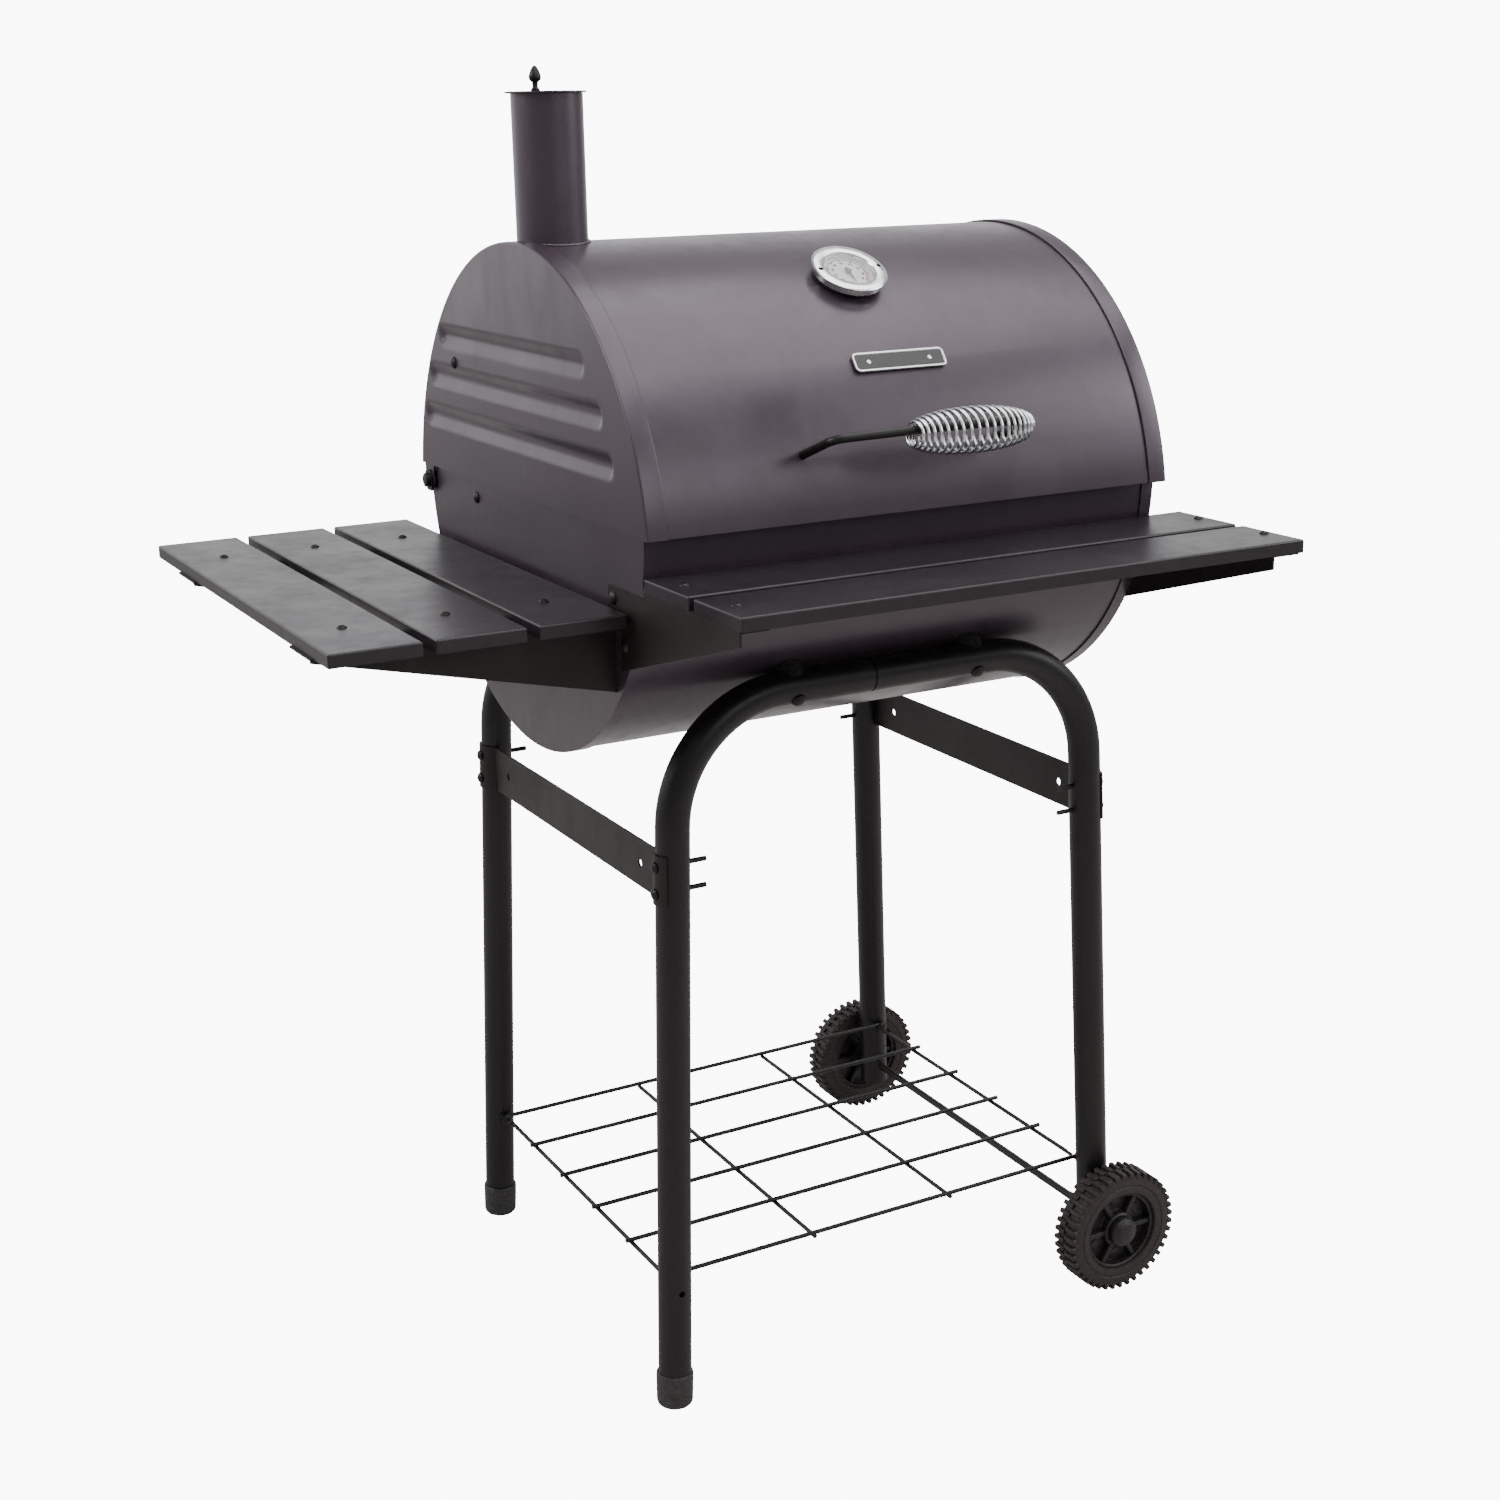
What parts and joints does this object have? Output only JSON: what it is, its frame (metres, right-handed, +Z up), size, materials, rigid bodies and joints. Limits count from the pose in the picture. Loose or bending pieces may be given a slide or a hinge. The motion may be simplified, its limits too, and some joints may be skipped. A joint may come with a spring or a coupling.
{
  "type": "barrel charcoal grill",
  "caption": "Barrel charcoal grill on a wheeled tube cart, with hinged lid, smokestack, coil-grip handle, lid thermometer, slatted front and side shelves and wire lower rack.",
  "frame": {"origin": "middle of the footprint on the floor", "axes": "+X along the barrel to the wheeled end, +Y to the back where the lid is hinged, +Z up"},
  "size_m": [0.859, 0.741, 1.2366],
  "materials": {
    "barrel_coat": "semi-gloss powder coat",
    "frame_coat": "satin black powder coat",
    "slat_coat": "semi-gloss powder coat",
    "grate_enamel": "gloss black enamel",
    "rack_wire": "satin black powder coat",
    "chromed_wire": "bright",
    "zinc": "zinc plated",
    "black_bolts": "blackened",
    "handle_coat": "satin black",
    "spring_wire": "bright zinc",
    "bezel": "bright",
    "dial": "printed, matt",
    "dial_glass": "clear",
    "needle": "matt",
    "name_plate": "brushed, blank",
    "tyre": "moulded",
    "foot": "moulded"
  },
  "bodies": {
    "cart": {"firebox_shell": "barrel_coat", "firebox_end_left": "barrel_coat", "firebox_end_right": "barrel_coat", "air_damper_rivet": "zinc", "hinge_rivets": "black_bolts", "leg_front_left": "frame_coat", "leg_front_right": "frame_coat", "leg_rear_left": "frame_coat", "leg_rear_right": "frame_coat", "foot_caps": "foot", "leg_saddles": "foot", "leg_bolts": "black_bolts", "brace_left": "frame_coat", "brace_right": "frame_coat", "brace_bolts": "black_bolts", "lower_rack": "rack_wire", "lower_rack_bolts": "black_bolts", "axle": "rack_wire", "axle_washers": "zinc", "front_slat_inner": "slat_coat", "front_slat_outer": "slat_coat", "side_slat_outer": "slat_coat", "side_slat_middle": "slat_coat", "side_slat_inner": "slat_coat", "front_bracket_left": "frame_coat", "front_bracket_right": "frame_coat", "side_bracket_front": "frame_coat", "side_bracket_rear": "frame_coat", "shelf_screws": "black_bolts", "bracket_bolts": "black_bolts", "cooking_grate_ledges": "barrel_coat", "fire_grate_ledges": "barrel_coat", "cooking_grate_left": "grate_enamel", "cooking_grate_right": "grate_enamel", "fire_grate": "grate_enamel", "rack_leg_bolts": "zinc"},
    "lid": {"lid_shell": "barrel_coat", "lid_end_left": "barrel_coat", "lid_end_right": "barrel_coat", "smokestack": "barrel_coat", "name_plate": "name_plate", "handle_rod": "handle_coat", "lid_nuts": "zinc", "spring_grip": "spring_wire", "thermometer_case": "bezel", "thermometer_dial": "dial", "thermometer_glass": "dial_glass", "thermometer_stem": "zinc", "rack_lid_bolts": "zinc"},
    "stack_damper": {"stack_damper_disc": "barrel_coat", "stack_damper_knob": "black_bolts"},
    "air_damper": {"air_damper_disc": "barrel_coat"},
    "front_wheel": {"wheel_front": "tyre", "hub_cap_front": "tyre"},
    "rear_wheel": {"wheel_rear": "tyre", "hub_cap_rear": "tyre"},
    "needle": {"thermometer_needle": "needle"},
    "rack": {"warming_rack": "chromed_wire"},
    "rack_legs": {"warming_rack_legs": "chromed_wire"}
  },
  "joints": [
    {"name": "lid_hinge", "type": "hinge", "parent": "cart", "child": "lid", "pos_m": [0.1135, 0.2995, 0.835], "axis": [-1, 0, 0], "range_deg": [0, 92]},
    {"name": "rack_legs_swing", "type": "hinge", "parent": "cart", "child": "rack_legs", "pos_m": [0.1135, 0.1795, 0.833], "axis": [-1, 0, 0], "range_deg": [0, 92]},
    {"name": "rack_swing", "type": "hinge", "parent": "lid", "child": "rack", "pos_m": [0.1135, 0.2115, 0.962], "axis": [-1, 0, 0], "range_deg": [-92, 0]},
    {"name": "stack_damper_swing", "type": "hinge", "parent": "lid", "child": "stack_damper", "pos_m": [-0.1195, 0.0745, 1.212], "axis": [0, 0, 1], "range_deg": [0, 110]},
    {"name": "air_damper_turn", "type": "hinge", "parent": "cart", "child": "air_damper", "pos_m": [0.3835, 0.0545, 0.745], "axis": [1, 0, 0], "range_deg": [0, 45]},
    {"name": "front_wheel_spin", "type": "hinge", "parent": "cart", "child": "front_wheel", "pos_m": [0.3635, -0.1995, 0.066], "axis": [0, 1, 0], "continuous": true},
    {"name": "rear_wheel_spin", "type": "hinge", "parent": "cart", "child": "rear_wheel", "pos_m": [0.3635, 0.3085, 0.066], "axis": [0, 1, 0], "continuous": true},
    {"name": "needle_turn", "type": "hinge", "parent": "lid", "child": "needle", "pos_m": [0.1135, -0.08451, 1.0515], "axis": [0, -0.5075, 0.8616], "range_deg": [-30, 240], "stiffness_Nm_per_rad": 0.002}
  ],
  "couplings": [
    {"joint": "rack_legs_swing", "follows": "lid_hinge", "ratio": 1},
    {"joint": "rack_swing", "follows": "lid_hinge", "ratio": -1}
  ]
}
